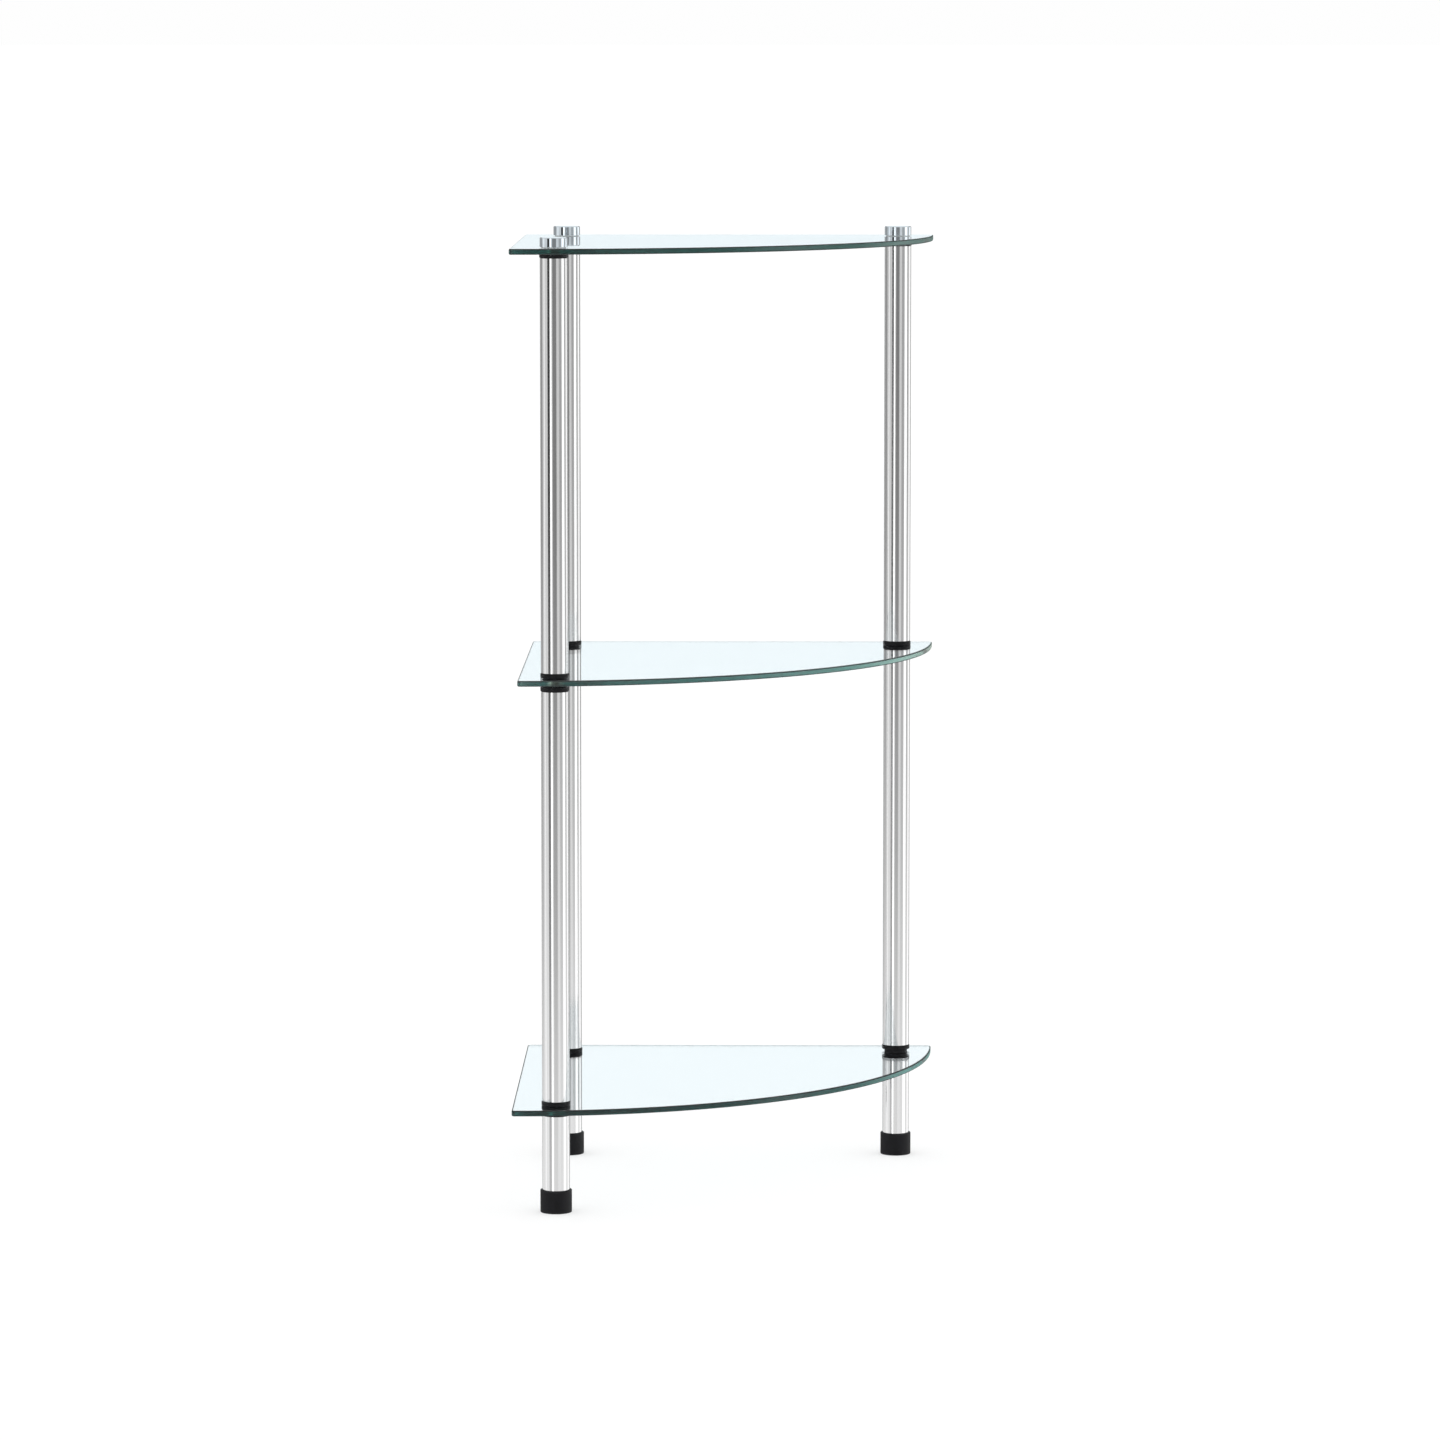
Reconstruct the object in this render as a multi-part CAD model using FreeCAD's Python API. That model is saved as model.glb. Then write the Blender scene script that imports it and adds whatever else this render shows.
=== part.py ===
import FreeCAD, Part
import math
import os

from FreeCAD import Vector

# Corner etagere with three quarter-round glass shelves on three screwed poles.
# Millimetres, Z up. The origin is on the floor under the middle of the shelves. Their right-angle
# corner is at -X and +Y, and the round edge faces -Y and +X.

# Glass shelves
shelf_radius = 293.0            # right-angle corner to the round edge
glass_thickness = 4.0
glass_corner_round = 2.5        # the three corners, seen from above
glass_edge_round = 1.0          # polished edge, above and below
middle_shelf_setback = 4.8      # straight edges of the middle shelf behind those of the other two
glass_hole_clearance = 0.5      # spigot to the wall of the drilled hole
glass_hole_arris = 0.4

# Poles and tubes
pole_edge_inset = 29.6          # front and right pole axes to a straight edge of the top shelf
corner_pole_inset = 30.8        # corner pole axis to both straight edges
pole_tip_inset = 25.8           # pole axis to a tip of the round edge
tube_diameter = 19.0
tube_wall = 0.8
tube_end_chamfer = 0.4
leg_tube_length = 64.75
long_tube_length = 283.5        # the tubes between the shelves are all alike

# Push-on feet
foot_wall = 1.4
foot_floor = 3.0                # sole to the end of the leg tube
foot_height = 15.8
foot_sole_round = 0.7
foot_lip_chamfer = 0.4

# End plugs
plug_flange_thickness = 2.75
plug_flange_overhang = 0.4      # flange rim beyond the tube
plug_flange_chamfer = 0.25
plug_neck_height = 2.5          # waisted plugs only: neck between the flange and the glass
plug_neck_undercut = 1.7        # neck behind the flange rim
plug_lead_in = 1.0
plug_tail = 5.0                 # body beyond the nut
spigot_wall = 1.25              # sleeve round the stud that centres the plug in the glass
spigot_gap = 0.5                # between the tips of two spigots in one hole

# Studs, nuts, washers and caps
stud_diameter = 6.0
stud_clearance = 0.25           # stud to the hole in a plug or a washer
stud_overrun = 1.0              # stud beyond the nut
stud_tip_gap = 0.5              # stud to the end of the hole in a cap
stud_end_chamfer = 0.6
nut_wall = 2.0                  # thread to the flats
nut_thickness = 5.0
nut_web = 3.5                   # plug wall between the flange of a waisted plug and its nut
washer_thickness = 0.5
washer_inset = 1.0              # washer rim behind the cap rim
cap_height = 6.5
cap_roof = 1.5                  # cap above its threaded hole
cap_rim_chamfer = 0.6

# Radii that follow from the sizes
tube_radius = tube_diameter / 2
bore_radius = tube_radius - tube_wall
foot_radius = tube_radius + foot_wall
flange_radius = tube_radius + plug_flange_overhang
neck_radius = flange_radius - plug_neck_undercut
stud_radius = stud_diameter / 2
stud_hole_radius = stud_radius + stud_clearance
spigot_radius = stud_hole_radius + spigot_wall
glass_hole_radius = spigot_radius + glass_hole_clearance
nut_across_flats = stud_diameter + 2 * nut_wall

# Heights that follow from the sizes, from the floor up
waisted_plug_height = plug_neck_height + plug_flange_thickness
nut_seat = waisted_plug_height + nut_web
spigot_length = (glass_thickness - spigot_gap) / 2
leg_plug_level = foot_floor + leg_tube_length
bottom_shelf_level = leg_plug_level + plug_flange_thickness
lower_plug_level = bottom_shelf_level + glass_thickness
middle_shelf_level = lower_plug_level + plug_flange_thickness + long_tube_length + waisted_plug_height
upper_plug_level = middle_shelf_level + glass_thickness
upper_tube_level = upper_plug_level + plug_flange_thickness
top_shelf_level = upper_tube_level + long_tube_length + plug_flange_thickness
washer_level = top_shelf_level + glass_thickness
cap_level = washer_level + washer_thickness

# Plan: the corner of the shelves, and the pole axes
corner_x = -shelf_radius / 2
corner_y = shelf_radius / 2
pole_axes = {
    "front": (corner_x + pole_edge_inset, corner_y - shelf_radius + pole_tip_inset),
    "corner": (corner_x + corner_pole_inset, corner_y - corner_pole_inset),
    "right": (corner_x + shelf_radius - pole_tip_inset, corner_y - pole_edge_inset),
}

# Poles whose long lower tube has its waisted plug at the top; on the others it is at the bottom
waist_up_poles = ("front", "corner")


def revolved(profile):
    """Solid of revolution about Z, from (radius, height) points in order."""
    points = [Vector(radius, 0, height) for radius, height in profile]
    section = Part.Face(Part.makePolygon(points + points[:1]))
    return section.revolve(Vector(0, 0, 0), Vector(0, 0, 1), 360)


def hexagon(across_flats, height):
    """Upright hexagonal prism on z = 0, with two corners on the X axis."""
    corner_radius = across_flats / 2 / math.cos(math.radians(30))
    angles = [math.radians(60 * side) for side in range(7)]
    points = [Vector(corner_radius * math.cos(a), corner_radius * math.sin(a), 0) for a in angles]
    return Part.Face(Part.makePolygon(points)).extrude(Vector(0, 0, height))


def is_rim(edge, radius, height):
    """True for a full circle of that radius at that height."""
    if not isinstance(edge.Curve, Part.Circle):
        return False
    fits = abs(edge.Curve.Radius - radius) < 0.001 and abs(edge.BoundBox.ZMin - height) < 0.001
    return fits and edge.BoundBox.ZLength < 0.001


def shelf_outline(setback):
    """Quarter-round face: two straight edges at a right angle and the round edge."""
    reach = math.sqrt(shelf_radius ** 2 - setback ** 2)
    corner = Vector(corner_x + setback, corner_y - setback, 0)
    front_tip = Vector(corner.x, corner_y - reach, 0)
    right_tip = Vector(corner_x + reach, corner.y, 0)
    diagonal = shelf_radius * math.cos(math.radians(45))
    middle = Vector(corner_x + diagonal, corner_y - diagonal, 0)
    left_edge = Part.LineSegment(corner, front_tip).toShape()
    round_edge = Part.Arc(front_tip, middle, right_tip).toShape()
    back_edge = Part.LineSegment(right_tip, corner).toShape()
    return Part.Face(Part.Wire([left_edge, round_edge, back_edge]))


def shelf(setback):
    """Glass pane on z = 0 with rounded corners, polished edges and three drilled holes."""
    pane = shelf_outline(setback).extrude(Vector(0, 0, glass_thickness))
    uprights = [edge for edge in pane.Edges if edge.BoundBox.ZLength > glass_thickness / 2]
    pane = pane.makeFillet(glass_corner_round, uprights)
    rims = [edge for edge in pane.Edges if edge.BoundBox.ZLength < glass_thickness / 2]
    pane = pane.makeFillet(glass_edge_round, rims)
    for x, y in pole_axes.values():
        pane = pane.cut(Part.makeCylinder(glass_hole_radius, glass_thickness, Vector(x, y, 0)))
    hole_rims = [
        edge
        for edge in pane.Edges
        if is_rim(edge, glass_hole_radius, 0) or is_rim(edge, glass_hole_radius, glass_thickness)
    ]
    return pane.makeChamfer(glass_hole_arris, hole_rims)


def tube(length):
    """Steel tube standing on z = 0, with its cut ends broken outside."""
    chamfer = min(tube_end_chamfer, tube_wall / 2)
    return revolved([
        (bore_radius, 0),
        (tube_radius - chamfer, 0),
        (tube_radius, chamfer),
        (tube_radius, length - chamfer),
        (tube_radius - chamfer, length),
        (bore_radius, length),
    ])


def foot():
    """Cup that is pushed on a leg tube from below, with a rounded sole."""
    lip = min(foot_lip_chamfer, foot_wall / 2)
    cup = revolved([
        (0, 0),
        (foot_radius, 0),
        (foot_radius, foot_height - lip),
        (foot_radius - lip, foot_height),
        (tube_radius, foot_height),
        (tube_radius, foot_floor),
        (0, foot_floor),
    ])
    sole_rim = [edge for edge in cup.Edges if is_rim(edge, foot_radius, 0)]
    return cup.makeFillet(foot_sole_round, sole_rim)


def plug(neck_height):
    """End plug with its glass face at z = 0: the spigot above, the flange and the body below."""
    tail_end = -(nut_seat + nut_thickness + plug_tail)
    flange_bottom = -(neck_height + plug_flange_thickness)
    flange_top = -neck_height
    profile = [
        (stud_hole_radius, tail_end),
        (bore_radius - plug_lead_in, tail_end),
        (bore_radius, tail_end + plug_lead_in),
        (bore_radius, flange_bottom),
        (flange_radius - plug_flange_chamfer, flange_bottom),
        (flange_radius, flange_bottom + plug_flange_chamfer),
        (flange_radius, flange_top - plug_flange_chamfer),
        (flange_radius - plug_flange_chamfer, flange_top),
    ]
    if neck_height:
        profile += [(neck_radius, flange_top), (neck_radius, 0)]
    profile += [
        (spigot_radius, 0),
        (spigot_radius, spigot_length),
        (stud_hole_radius, spigot_length),
    ]
    nut_pocket = hexagon(nut_across_flats, nut_thickness + plug_tail)
    nut_pocket.translate(Vector(0, 0, tail_end))
    return revolved(profile).cut(nut_pocket)


def nut():
    """Hexagonal nut on z = 0."""
    thread = Part.makeCylinder(stud_radius, nut_thickness)
    return hexagon(nut_across_flats, nut_thickness).cut(thread)


def stud(length):
    """Threaded stud standing on z = 0, at its thread's outer diameter."""
    return revolved([
        (0, 0),
        (stud_radius - stud_end_chamfer, 0),
        (stud_radius, stud_end_chamfer),
        (stud_radius, length - stud_end_chamfer),
        (stud_radius - stud_end_chamfer, length),
        (0, length),
    ])


def washer():
    """Thin flat washer on z = 0."""
    outer_radius = tube_radius - washer_inset
    return revolved([
        (stud_hole_radius, 0),
        (outer_radius, 0),
        (outer_radius, washer_thickness),
        (stud_hole_radius, washer_thickness),
    ])


def cap():
    """Turned cap on z = 0, as wide as the tube, with a threaded hole from below."""
    return revolved([
        (stud_radius, 0),
        (tube_radius, 0),
        (tube_radius, cap_height - cap_rim_chamfer),
        (tube_radius - cap_rim_chamfer, cap_height),
        (0, cap_height),
        (0, cap_height - cap_roof),
        (stud_radius, cap_height - cap_roof),
    ])


def placed(shape, x, y, level, turned_over=False):
    """Copy of a shape on a pole axis; turned over, what faced up faces down."""
    copy = shape.copy()
    if turned_over:
        copy.rotate(Vector(0, 0, 0), Vector(1, 0, 0), 180)
    copy.translate(Vector(x, y, level))
    return copy


def shelves():
    """The three panes at their levels."""
    return {
        "bottom_shelf": placed(shelf(0), 0, 0, bottom_shelf_level),
        "middle_shelf": placed(shelf(middle_shelf_setback), 0, 0, middle_shelf_level),
        "top_shelf": placed(shelf(0), 0, 0, top_shelf_level),
    }


def pole(name):
    """One pole from foot to cap: three tubes with a plug at each end that meets glass."""
    x, y = pole_axes[name]
    flat_plug = plug(0)
    waisted_plug = plug(plug_neck_height)
    long_tube = tube(long_tube_length)
    waist_is_up = name in waist_up_poles
    lower_bottom_plug = flat_plug if waist_is_up else waisted_plug
    lower_top_plug = waisted_plug if waist_is_up else flat_plug
    lower_tube_rise = plug_flange_thickness if waist_is_up else waisted_plug_height
    return {
        name + "_foot": placed(foot(), x, y, 0),
        name + "_leg_tube": placed(tube(leg_tube_length), x, y, foot_floor),
        name + "_leg_plug": placed(flat_plug, x, y, bottom_shelf_level),
        name + "_lower_tube_bottom_plug": placed(lower_bottom_plug, x, y, lower_plug_level, True),
        name + "_lower_tube": placed(long_tube, x, y, lower_plug_level + lower_tube_rise),
        name + "_lower_tube_top_plug": placed(lower_top_plug, x, y, middle_shelf_level),
        name + "_upper_tube_bottom_plug": placed(flat_plug, x, y, upper_plug_level, True),
        name + "_upper_tube": placed(long_tube, x, y, upper_tube_level),
        name + "_upper_tube_top_plug": placed(flat_plug, x, y, top_shelf_level),
        name + "_cap": placed(cap(), x, y, cap_level),
    }


def fasteners():
    """The hidden nuts and studs and the washers, each kind as one group of solids."""
    under_glass = [bottom_shelf_level, middle_shelf_level, top_shelf_level]
    over_glass = [lower_plug_level, upper_plug_level]
    nut_levels = [level - nut_seat - nut_thickness for level in under_glass]
    nut_levels += [level + nut_seat for level in over_glass]
    stud_reach = nut_seat + nut_thickness + stud_overrun
    joining_stud = stud(glass_thickness + 2 * stud_reach)
    cap_stud_start = top_shelf_level - stud_reach
    cap_stud_end = cap_level + cap_height - cap_roof - stud_tip_gap
    cap_stud = stud(cap_stud_end - cap_stud_start)
    groups = {"plug_nuts": [], "joining_studs": [], "cap_studs": [], "cap_washers": []}
    for x, y in pole_axes.values():
        groups["plug_nuts"] += [placed(nut(), x, y, level) for level in nut_levels]
        groups["joining_studs"].append(placed(joining_stud, x, y, bottom_shelf_level - stud_reach))
        groups["joining_studs"].append(placed(joining_stud, x, y, middle_shelf_level - stud_reach))
        groups["cap_studs"].append(placed(cap_stud, x, y, cap_stud_start))
        groups["cap_washers"].append(placed(washer(), x, y, washer_level))
    return {name: Part.makeCompound(solids) for name, solids in groups.items()}


parts = shelves()
for pole_name in pole_axes:
    parts.update(pole(pole_name))
parts.update(fasteners())

os.makedirs("parts", exist_ok=True)
for node, shape in parts.items():
    shape.exportStep("parts/" + node + ".step")
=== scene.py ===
import math

import bpy
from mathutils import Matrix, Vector


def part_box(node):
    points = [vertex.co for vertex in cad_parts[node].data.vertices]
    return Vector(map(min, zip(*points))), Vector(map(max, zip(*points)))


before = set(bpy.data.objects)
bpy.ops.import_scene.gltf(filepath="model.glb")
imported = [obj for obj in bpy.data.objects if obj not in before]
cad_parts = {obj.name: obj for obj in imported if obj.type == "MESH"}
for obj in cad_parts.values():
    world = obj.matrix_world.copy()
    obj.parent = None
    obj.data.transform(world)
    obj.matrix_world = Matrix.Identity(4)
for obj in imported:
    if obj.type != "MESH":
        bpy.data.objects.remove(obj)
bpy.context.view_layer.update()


# Feet: three black cups of rubber-like plastic, one pushed on each leg tube from below.
# They are moulded with a fine matt skin, and use has rubbed the sole and the lip a little greyer.
poles = ("front", "corner", "right")
foot_dark = (0.004, 0.004, 0.0055)
foot_pale = (0.007, 0.007, 0.0095)
foot_rubbed = (0.022, 0.022, 0.024)
rub_reach = 0.0014


def set_inputs(node, **values):
    """Sets a node's own input values; _ stands for a space in an input's name."""
    for name, value in values.items():
        node.inputs[name.replace("_", " ")].default_value = value


def added(tree, kind, **values):
    """New shader node with its own input values."""
    node = tree.nodes.new("ShaderNode" + kind)
    set_inputs(node, **values)
    return node


def link(tree, source, target):
    """Joins two (node, socket) ends; a socket is given by its name or its number."""
    tree.links.new(source[0].outputs[source[1]], target[0].inputs[target[1]])


def shader_group(name, inputs, outputs):
    """Empty node group with a dictionary of input values and a list of outputs."""
    group = bpy.data.node_groups.new(name, "ShaderNodeTree")
    for label, default in inputs.items():
        socket = group.interface.new_socket(name=label, in_out="INPUT", socket_type="NodeSocketFloat")
        socket.default_value = default
    for label in outputs:
        group.interface.new_socket(name=label, in_out="OUTPUT", socket_type="NodeSocketFloat")
    return group, group.nodes.new("NodeGroupInput"), group.nodes.new("NodeGroupOutput")


def placed_group(tree, group, **values):
    """A node group as a node in a material, with its own input values."""
    node = added(tree, "Group")
    node.node_tree = group
    set_inputs(node, **values)
    return node


def mapped(tree, source, **ranges):
    """Value taken from one range to another and kept inside it; each range is 0 to 1 unless given."""
    span = added(tree, "MapRange", **ranges)
    link(tree, source, (span, "Value"))
    return span, "Result"


def combined(tree, operation, first, second):
    """Value that a math operation makes of two others."""
    math_node = added(tree, "Math")
    math_node.operation = operation
    link(tree, first, (math_node, 0))
    link(tree, second, (math_node, 1))
    return math_node, "Value"


def ramp_over(tree, source, stops):
    """Colour over a value from 0 to 1, through stops of (position, colour)."""
    ramp = added(tree, "ValToRGB")
    elements = ramp.color_ramp.elements
    for element, (position, colour) in zip(elements, (stops[0], stops[-1])):
        element.position = position
        element.color = (*colour, 1.0)
    for position, colour in stops[1:-1]:
        elements.new(position).color = (*colour, 1.0)
    link(tree, source, (ramp, "Fac"))
    return ramp, "Color"


def colours_between(tree, source, low, high):
    """Colour that goes from low to high as a mask goes from 0 to 1."""
    return ramp_over(tree, source, ((0.0, low), (1.0, high)))


def laid_over(tree, mask, under, colour):
    """A plain colour over another one, where a mask is 1."""
    mix = added(tree, "MixRGB", Color2=(*colour, 1.0))
    link(tree, mask, (mix, "Fac"))
    link(tree, under, (mix, "Color1"))
    return mix, "Color"


def raised(tree, source, shader, depth, strength):
    """Bump on a shader from a height mask, depth in metres."""
    bump = added(tree, "Bump", Distance=depth, Strength=strength)
    link(tree, source, (bump, "Height"))
    link(tree, (bump, "Normal"), (shader, "Normal"))


def axes_of(tree, coordinate):
    """Node that splits a texture coordinate, such as Object or Normal, into X, Y and Z."""
    place = added(tree, "TexCoord")
    axes = added(tree, "SeparateXYZ")
    link(tree, (place, coordinate), (axes, "Vector"))
    return axes


def new_material(name):
    """Material with its node tree and its main shader."""
    material = bpy.data.materials.new(name)
    material.use_nodes = True
    return material, material.node_tree, material.node_tree.nodes["Principled BSDF"]


def dress(nodes, material):
    """Gives CAD nodes their finish."""
    for node in nodes:
        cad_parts[node].material_slots[0].material = material


def moulded_skin_group():
    """Skin of a moulded piece: a fine grain, and a soft uneven shade from the mould."""
    group, given, made = shader_group(
        "Moulded skin", {"Grain Scale": 2500.0, "Shade Scale": 90.0}, ["Grain", "Shade"])
    place = added(group, "TexCoord")
    grain = added(group, "TexNoise", Detail=3.0)
    shade = added(group, "TexNoise", Detail=2.0)
    for noise, scale in ((grain, "Grain Scale"), (shade, "Shade Scale")):
        link(group, (place, "Object"), (noise, "Vector"))
        link(group, (given, scale), (noise, "Scale"))
    link(group, (grain, "Fac"), (made, "Grain"))
    link(group, mapped(group, (shade, "Fac"), From_Min=0.35, From_Max=0.65), (made, "Shade"))
    return group


moulded_skin = moulded_skin_group()
foot_black, tree, shader = new_material("foot_black")
set_inputs(shader, Specular_IOR_Level=0.22)
skin = placed_group(tree, moulded_skin, Grain_Scale=1800.0, Shade_Scale=140.0)
foot_low, foot_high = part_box("front_foot")
foot_level = (axes_of(tree, "Object"), "Z")
sole = mapped(tree, foot_level, From_Min=foot_low[2] + rub_reach, From_Max=foot_low[2])
lip = mapped(tree, foot_level, From_Min=foot_high[2] - rub_reach, From_Max=foot_high[2])
rubbed = combined(tree, "MULTIPLY", combined(tree, "MAXIMUM", sole, lip), (skin, "Shade"))
foot_colour = colours_between(tree, (skin, "Shade"), foot_dark, foot_pale)
link(tree, laid_over(tree, rubbed, foot_colour, foot_rubbed), (shader, "Base Color"))
link(tree, mapped(tree, (skin, "Shade"), To_Min=0.52, To_Max=0.64), (shader, "Roughness"))
raised(tree, (skin, "Grain"), shader, depth=0.00006, strength=0.35)
dress([pole + "_foot" for pole in poles], foot_black)


# Tubes: bright stainless steel, welded, drawn and polished along their length, cut square at both ends.
# The polish leaves a faint lengthwise grain and long shallow waves that make reflections waver.
steel_dark = (0.74, 0.74, 0.745)
steel_pale = (0.86, 0.86, 0.86)
streak_squeeze = (1.0, 1.0, 0.006)
wave_squeeze = (1.0, 1.0, 0.35)


def drawn_grain_group():
    """Polished drawn metal: fine lengthwise streaks, and long shallow waves."""
    group, given, made = shader_group(
        "Drawn grain", {"Streak Scale": 1500.0, "Wave Scale": 60.0}, ["Streaks", "Waves"])
    place = added(group, "TexCoord")
    for scale, squeeze, out in (
        ("Streak Scale", streak_squeeze, "Streaks"),
        ("Wave Scale", wave_squeeze, "Waves"),
    ):
        squeezed = added(group, "VectorMath")
        squeezed.operation = "MULTIPLY"
        squeezed.inputs[1].default_value = squeeze
        noise = added(group, "TexNoise", Detail=3.0)
        link(group, (place, "Object"), (squeezed, 0))
        link(group, (squeezed, "Vector"), (noise, "Vector"))
        link(group, (given, scale), (noise, "Scale"))
        link(group, (noise, "Fac"), (made, out))
    return group


tube_steel, tree, shader = new_material("tube_steel")
set_inputs(shader, Metallic=1.0)
grain = placed_group(tree, drawn_grain_group(), Streak_Scale=1500.0, Wave_Scale=60.0)
link(tree, colours_between(tree, (grain, "Streaks"), steel_dark, steel_pale), (shader, "Base Color"))
link(tree, mapped(tree, (grain, "Streaks"), To_Min=0.07, To_Max=0.15), (shader, "Roughness"))
raised(tree, (grain, "Waves"), shader, depth=0.0004, strength=0.12)
tubes = ("leg_tube", "lower_tube", "upper_tube")
dress([f"{pole}_{tube}" for pole in poles for tube in tubes], tube_steel)


# Plugs: fifteen black plastic end plugs, pushed into the tube ends that meet glass.
# They are moulded with a satin skin. Only the flange shows and, on three of them, the waist beside it.
plug_dark = (0.003, 0.003, 0.004)
plug_pale = (0.006, 0.006, 0.0075)
plug_black, tree, shader = new_material("plug_black")
set_inputs(shader, Specular_IOR_Level=0.2)
skin = placed_group(tree, moulded_skin, Grain_Scale=2600.0, Shade_Scale=110.0)
link(tree, colours_between(tree, (skin, "Shade"), plug_dark, plug_pale), (shader, "Base Color"))
link(tree, mapped(tree, (skin, "Shade"), To_Min=0.36, To_Max=0.48), (shader, "Roughness"))
raised(tree, (skin, "Grain"), shader, depth=0.00004, strength=0.25)
plugs = ("leg_plug", "lower_tube_bottom_plug", "lower_tube_top_plug", "upper_tube_bottom_plug",
         "upper_tube_top_plug")
dress([f"{pole}_{plug}" for pole in poles for plug in plugs], plug_black)


# Nuts and studs: zinc-plated steel. The nuts are pressed into the plugs, and the studs are screwed
# through them to pull plug, glass and plug together; one set also holds the caps.
# The threads are hidden inside the plugs, so they are left to a bump.
zinc_dark = (0.52, 0.53, 0.54)
zinc_pale = (0.66, 0.67, 0.68)
thread_pitch = 0.001
wave_rate = 20.0  # radians in a unit of length that a wave texture of scale 1 makes
zinc_plate, tree, shader = new_material("zinc_plate")
set_inputs(shader, Metallic=1.0)
skin = placed_group(tree, moulded_skin, Grain_Scale=900.0, Shade_Scale=250.0)
link(tree, colours_between(tree, (skin, "Shade"), zinc_dark, zinc_pale), (shader, "Base Color"))
link(tree, mapped(tree, (skin, "Grain"), To_Min=0.28, To_Max=0.42), (shader, "Roughness"))
dress(["plug_nuts"], zinc_plate)

stud_zinc = zinc_plate.copy()
stud_zinc.name = "stud_zinc"
tree = stud_zinc.node_tree
thread = added(tree, "TexWave", Scale=math.tau / wave_rate / thread_pitch)
thread.bands_direction = "Z"
link(tree, (added(tree, "TexCoord"), "Object"), (thread, "Vector"))
raised(tree, (thread, "Fac"), tree.nodes["Principled BSDF"], depth=thread_pitch / 2, strength=0.8)
dress(["joining_studs", "cap_studs"], stud_zinc)


# Shelves: three quarter-round panes of clear toughened glass with ground and polished edges.
# They lie on the plug flanges, with a drilled hole round each stud; the iron in the glass makes
# the edge dark green, where light has come a long way through it. The edge also carries painted shade,
# lighter or darker on each shelf by how the light falls there, and the arris a darker painted shade line.
face_colour = (0.935, 0.962, 0.982)
through_colour = (0.997, 0.998, 0.998)
body_colour = (0.3, 0.68, 0.72)
edge_roughness = 0.3
arris_roughness = 0.6
edge_tilt = 0.1
arris_start = 0.3
arris_end = 0.88
face_start = 0.97


def without_sign(tree, source):
    """Value without its sign."""
    math_node = added(tree, "Math")
    math_node.operation = "ABSOLUTE"
    link(tree, source, (math_node, 0))
    return math_node, "Value"


def ground_edge_group():
    """Ground edge of a pane: a mask from edge to arris, a mask from arris to face, and a roughness."""
    group, given, made = shader_group(
        "Ground edge",
        {"Edge Roughness": edge_roughness, "Arris Roughness": arris_roughness},
        ["Arris", "Face", "Roughness"],
    )
    tilt = without_sign(group, (axes_of(group, "Normal"), "Z"))
    arris = mapped(group, tilt, From_Min=edge_tilt, From_Max=arris_start)
    face = mapped(group, tilt, From_Min=arris_end, From_Max=face_start)
    ground, result = mapped(group, arris)
    polished = mapped(group, face, To_Min=1.0, To_Max=0.0)
    link(group, (given, "Edge Roughness"), (ground, "To Min"))
    link(group, (given, "Arris Roughness"), (ground, "To Max"))
    link(group, arris, (made, "Arris"))
    link(group, face, (made, "Face"))
    link(group, combined(group, "MULTIPLY", (ground, result), polished), (made, "Roughness"))
    return group


def handling_marks_group():
    """Faint marks of cleaning and touch on a bright surface."""
    group, given, made = shader_group("Handling marks", {"Mark Scale": 22.0, "Least": 0.55}, ["Marks"])
    place = added(group, "TexCoord")
    noise = added(group, "TexNoise", Detail=4.0, Distortion=0.8)
    spread, result = mapped(group, (noise, "Fac"), From_Max=0.8)
    link(group, (place, "Object"), (noise, "Vector"))
    link(group, (given, "Mark Scale"), (noise, "Scale"))
    link(group, (given, "Least"), (spread, "From Min"))
    link(group, (spread, result), (made, "Marks"))
    return group


def lets_light_through(tree, shader, colour):
    """Light for other surfaces goes straight through a clear piece, tinted."""
    path = added(tree, "LightPath")
    passing = combined(tree, "MAXIMUM", (path, "Is Shadow Ray"), (path, "Is Diffuse Ray"))
    clear = added(tree, "BsdfTransparent", Color=(*colour, 1.0))
    mix = added(tree, "MixShader")
    link(tree, passing, (mix, "Fac"))
    link(tree, (shader, "BSDF"), (mix, 1))
    link(tree, (clear, "BSDF"), (mix, 2))
    link(tree, (mix, "Shader"), (tree.nodes["Material Output"], "Surface"))


ground_edge = ground_edge_group()
handling_marks = handling_marks_group()


def shelf_glass(name, edge_painted_shade, arris_painted_shade):
    """Clear glass with painted shade on its ground edge and darker painted shade on the arris; the faces
    let light through, the edge scatters it a little.
    """
    material, tree, shader = new_material(name)
    set_inputs(shader, Transmission_Weight=1.0, IOR=1.52, Specular_IOR_Level=0.1)
    edge = placed_group(tree, ground_edge, Edge_Roughness=edge_roughness, Arris_Roughness=arris_roughness)
    # The edge and arris colours are painted shade, laid under the clear colour of the faces.
    edge_and_arris_shade = colours_between(tree, (edge, "Arris"), edge_painted_shade, arris_painted_shade)
    link(tree, laid_over(tree, (edge, "Face"), edge_and_arris_shade, face_colour), (shader, "Base Color"))
    marks = placed_group(tree, handling_marks, Mark_Scale=22.0, Least=0.5)
    smeared = mapped(tree, (marks, "Marks"), To_Min=0.0, To_Max=0.03)
    link(tree, combined(tree, "MAXIMUM", (edge, "Roughness"), smeared), (shader, "Roughness"))
    body = added(tree, "VolumeAbsorption", Color=(*body_colour, 1.0), Density=14.0)
    link(tree, (body, "Volume"), (tree.nodes["Material Output"], "Volume"))
    lets_light_through(tree, shader, through_colour)
    return material


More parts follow.
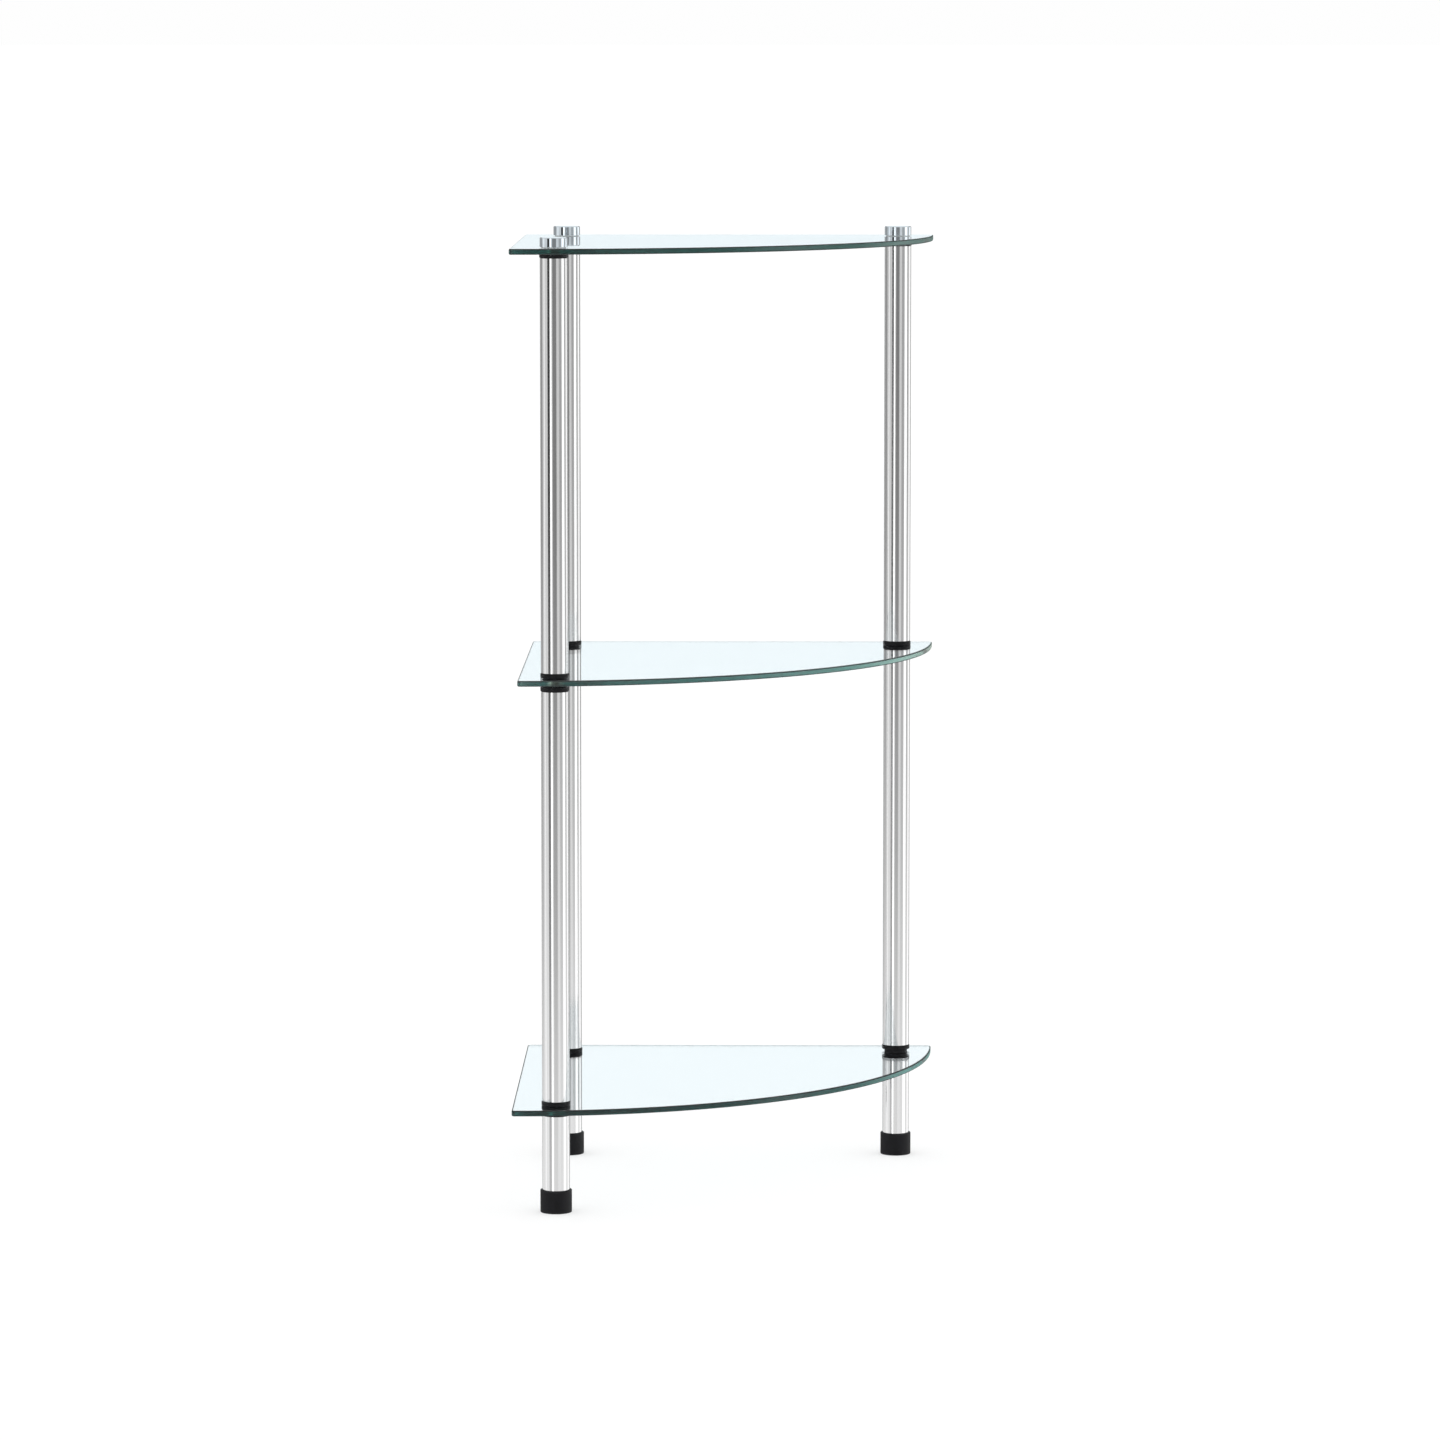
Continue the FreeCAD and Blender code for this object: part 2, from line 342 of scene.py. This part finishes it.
# Each shelf's edge and arris colours are painted shade, lighter or darker by how the light falls on that
# shelf.
for shelf, edge_painted_shade, arris_painted_shade in (
    ("bottom_shelf", (0.11, 0.58, 0.47), (0.003, 0.012, 0.011)),
    ("middle_shelf", (0.92, 1.0, 0.80), (0.02, 0.04, 0.036)),
    ("top_shelf", (0.05, 0.20, 0.145), (0.002, 0.008, 0.007)),
):
    dress([shelf], shelf_glass(shelf + "_glass", edge_painted_shade, arris_painted_shade))


# Washers: three thin discs punched from clear, slightly hazy plastic sheet.
# Each lies between a cap and the top shelf, so that metal does not press on glass.
washer_pale = (0.93, 0.95, 0.96)
washer_dark = (0.86, 0.89, 0.91)
washer_through = (0.98, 0.98, 0.98)
washer_clear, tree, shader = new_material("washer_clear")
set_inputs(shader, Transmission_Weight=0.55, IOR=1.49)
marks = placed_group(tree, handling_marks, Mark_Scale=120.0, Least=0.4)
link(tree, colours_between(tree, (marks, "Marks"), washer_pale, washer_dark), (shader, "Base Color"))
link(tree, mapped(tree, (marks, "Marks"), To_Min=0.22, To_Max=0.4), (shader, "Roughness"))
lets_light_through(tree, shader, washer_through)
dress(["cap_washers"], washer_clear)


# Caps: three turned brass discs, chromed and buffed to a mirror, with faint marks of handling.
# Each is screwed down on its cap stud, and clamps the top shelf on the pole below.
chrome_pale = (0.77, 0.84, 0.89)
chrome_dark = (0.70, 0.77, 0.82)
cap_chrome, tree, shader = new_material("cap_chrome")
set_inputs(shader, Metallic=1.0)
marks = placed_group(tree, handling_marks, Mark_Scale=160.0, Least=0.45)
link(tree, colours_between(tree, (marks, "Marks"), chrome_pale, chrome_dark), (shader, "Base Color"))
link(tree, mapped(tree, (marks, "Marks"), To_Min=0.02, To_Max=0.08), (shader, "Roughness"))
dress([pole + "_cap" for pole in poles], cap_chrome)


# Floor: one wide white sheet under the feet, partly lit from itself so that it fades into the backdrop.
# It keeps only a faint shadow round the feet, and the metal mirrors the cards below it instead.
floor_half = 150.0
floor_grey = (0.5, 0.5, 0.5)
floor_own_light = 0.46
white = (1.0, 1.0, 1.0)
floor_mesh = bpy.data.meshes.new("floor")
floor_corners = [(-floor_half, -floor_half, 0), (floor_half, -floor_half, 0), (floor_half, floor_half, 0),
                 (-floor_half, floor_half, 0)]
floor_mesh.from_pydata(floor_corners, [], [(0, 1, 2, 3)])
floor = bpy.data.objects.new("floor", floor_mesh)
bpy.context.scene.collection.objects.link(floor)
floor_white, tree, shader = new_material("floor_white")
set_inputs(shader, Base_Color=(*floor_grey, 1.0), Roughness=0.9, Specular_IOR_Level=0.0)
set_inputs(shader, Emission_Color=(*white, 1.0), Emission_Strength=floor_own_light)
floor_mesh.materials.append(floor_white)
floor.visible_glossy = False


# Cards: upright sheets in a ring round the set, which show only as reflections in metal and glass.
# Dark ones, the flags, draw the dark lines on the tubes, and lit ones the bright lines. They reach
# below the floor, where its glow washes them out, for tubes that are seen from above.
card_distance = 2.4
card_low = -4.5
card_high = 2.2
card_fade_degrees = 3.0
card_glow_top = 0.3
card_glow_foot = -1.0
glow_level = 1.18
surroundings_level = 0.72
cool_white = (0.88, 0.965, 1.0)


def floor_glow_group():
    """How far the bright floor washes out what is mirrored, from a height that falls from 1 to 0."""
    group, given, made = shader_group("Floor glow", {"Height": 1.0}, ["Glow"])
    glow_at = ((0.0, 0.15), (0.31, 0.3), (0.46, 0.72), (0.69, 0.26), (1.0, 0.0))
    stops = [(height, (glow, glow, glow)) for height, glow in glow_at]
    link(group, ramp_over(group, (given, "Height"), stops), (made, "Glow"))
    return group


floor_glow = floor_glow_group()


def glowing_level(tree, source, high, low, level, washed):
    """Light level that goes from its own value to a washed-out one as the height goes from high to low."""
    glow = placed_group(tree, floor_glow)
    link(tree, mapped(tree, source, From_Min=low, From_Max=high), (glow, "Height"))
    return mapped(tree, (glow, "Glow"), To_Min=level, To_Max=washed)


def card_light(name, half, soft, level, washed, tint):
    """Glowing material for a card; its sides fade from its own level to that of the surroundings."""
    material = bpy.data.materials.new(name)
    material.use_nodes = True
    tree = material.node_tree
    tree.nodes.clear()
    axes = axes_of(tree, "Object")
    side = mapped(tree, without_sign(tree, (axes, "X")), From_Min=half - soft, From_Max=half + soft,
                  To_Min=level, To_Max=surroundings_level)
    glowing, result = glowing_level(tree, (axes, "Z"), card_glow_top, card_glow_foot, level, washed)
    link(tree, side, (glowing, "To Min"))
    tinted = added(tree, "MixRGB", Fac=1.0, Color2=(*tint, 1.0))
    tinted.blend_type = "MULTIPLY"
    link(tree, (glowing, result), (tinted, "Color1"))
    lamp = added(tree, "Emission", Strength=1.0)
    link(tree, (tinted, "Color"), (lamp, "Color"))
    link(tree, (lamp, "Emission"), (added(tree, "OutputMaterial"), "Surface"))
    return material


def card(name, azimuth, width, level, washed, tint):
    """Upright card that faces the object; azimuth from the camera's side and width are in degrees."""
    turn = math.radians(azimuth)
    reach = card_distance * math.cos(math.radians(width / 2))
    half = card_distance * math.sin(math.radians(width / 2))
    soft = card_distance * math.radians(card_fade_degrees / 2)
    outer = half + soft
    mesh = bpy.data.meshes.new(name)
    corners = [(-outer, 0, card_low), (outer, 0, card_low), (outer, 0, card_high), (-outer, 0, card_high)]
    mesh.from_pydata(corners, [], [(0, 1, 2, 3)])
    mesh.materials.append(card_light(name, half, soft, level, washed, tint))
    panel = bpy.data.objects.new(name, mesh)
    panel.location = (reach * math.sin(turn), -reach * math.cos(turn), 0.0)
    panel.rotation_euler = (0.0, 0.0, turn)
    bpy.context.scene.collection.objects.link(panel)
    panel.visible_camera = False
    panel.visible_diffuse = False
    panel.visible_transmission = False
    panel.visible_shadow = False


# Name, azimuth, width, light level, level where the glow washes it out, and tint
for card_row in (
    ("left_rear_flag", -123, 34, 0.34, glow_level, white),
    ("left_side_light", -84, 9, 1.15, glow_level, white),
    ("left_flag", -43.5, 18, 0.04, 0.88, white),
    ("left_strip_light", -26.5, 8, 2.0, 2.0, white),
    ("camera_side_flag", 2.2, 31.5, 0.24, glow_level, white),
    ("right_flag", 51, 23, 0.43, glow_level, white),
    ("right_light", 79, 23, 1.5, 1.5, white),
    ("right_rear_flag", 99, 9, 0.32, glow_level, white),
    ("right_rear_light", 127, 20, 1.3, 1.3, white),
    ("left_back_flag", -149, 7, 0.12, 0.45, white),
    ("back_left_flag", -165, 12, 0.2, 0.5, white),
    ("backdrop", 180, 16, 1.05, glow_level, cool_white),
    ("back_right_flag", 165, 12, 0.2, 0.5, white),
    ("right_back_flag", 147, 7, 0.12, 0.45, white),
):
    card(*card_row)


# Surroundings: soft white light from all sides, and a white backdrop where the camera looks past the
# object or through the glass. What metal mirrors between the cards is dimmer, and brighter low down.
seen_level = 0.99
shed_level = 1.16
slope_at_glow_top = -0.07
slope_at_glow_foot = -0.256
world = bpy.data.worlds.new("studio")
bpy.context.scene.world = world
world.use_nodes = True
tree = world.node_tree
tree.nodes.clear()
path = added(tree, "LightPath")
seen = combined(tree, "MAXIMUM", (path, "Is Camera Ray"), (path, "Is Transmission Ray"))
seen_light = added(tree, "Background", Color=(*white, 1.0), Strength=seen_level)
shed_light = added(tree, "Background", Color=(*white, 1.0), Strength=shed_level)
mirrored_light = added(tree, "Background", Strength=1.0)
slope = (axes_of(tree, "Generated"), "Z")
mirrored_level = glowing_level(
    tree, slope, slope_at_glow_top, slope_at_glow_foot, surroundings_level, glow_level)
link(tree, mirrored_level, (mirrored_light, "Color"))
unseen = added(tree, "MixShader")
link(tree, (path, "Is Glossy Ray"), (unseen, "Fac"))
link(tree, (shed_light, "Background"), (unseen, 1))
link(tree, (mirrored_light, "Background"), (unseen, 2))
shown = added(tree, "MixShader")
link(tree, seen, (shown, "Fac"))
link(tree, (unseen, "Shader"), (shown, 1))
link(tree, (seen_light, "Background"), (shown, 2))
link(tree, (shown, "Shader"), (added(tree, "OutputWorld"), "Surface"))


# Camera: a long lens more than four metres away, a little above the top shelf.
# It is aimed at the middle of the object, and its colours are shown as they are, so white stays white.
camera_place = Vector((0.0392, -4.634, 0.8234))
camera_aim = Vector((-0.0052, 0.0, 0.3279))
camera_data = bpy.data.cameras.new("camera")
camera_data.lens = 166.05
camera_data.sensor_width = 36.0
camera = bpy.data.objects.new("camera", camera_data)
camera.location = camera_place
camera.rotation_euler = (camera_aim - camera_place).to_track_quat("-Z", "Y").to_euler()
bpy.context.scene.collection.objects.link(camera)
bpy.context.scene.camera = camera
bpy.context.scene.view_settings.view_transform = "Standard"
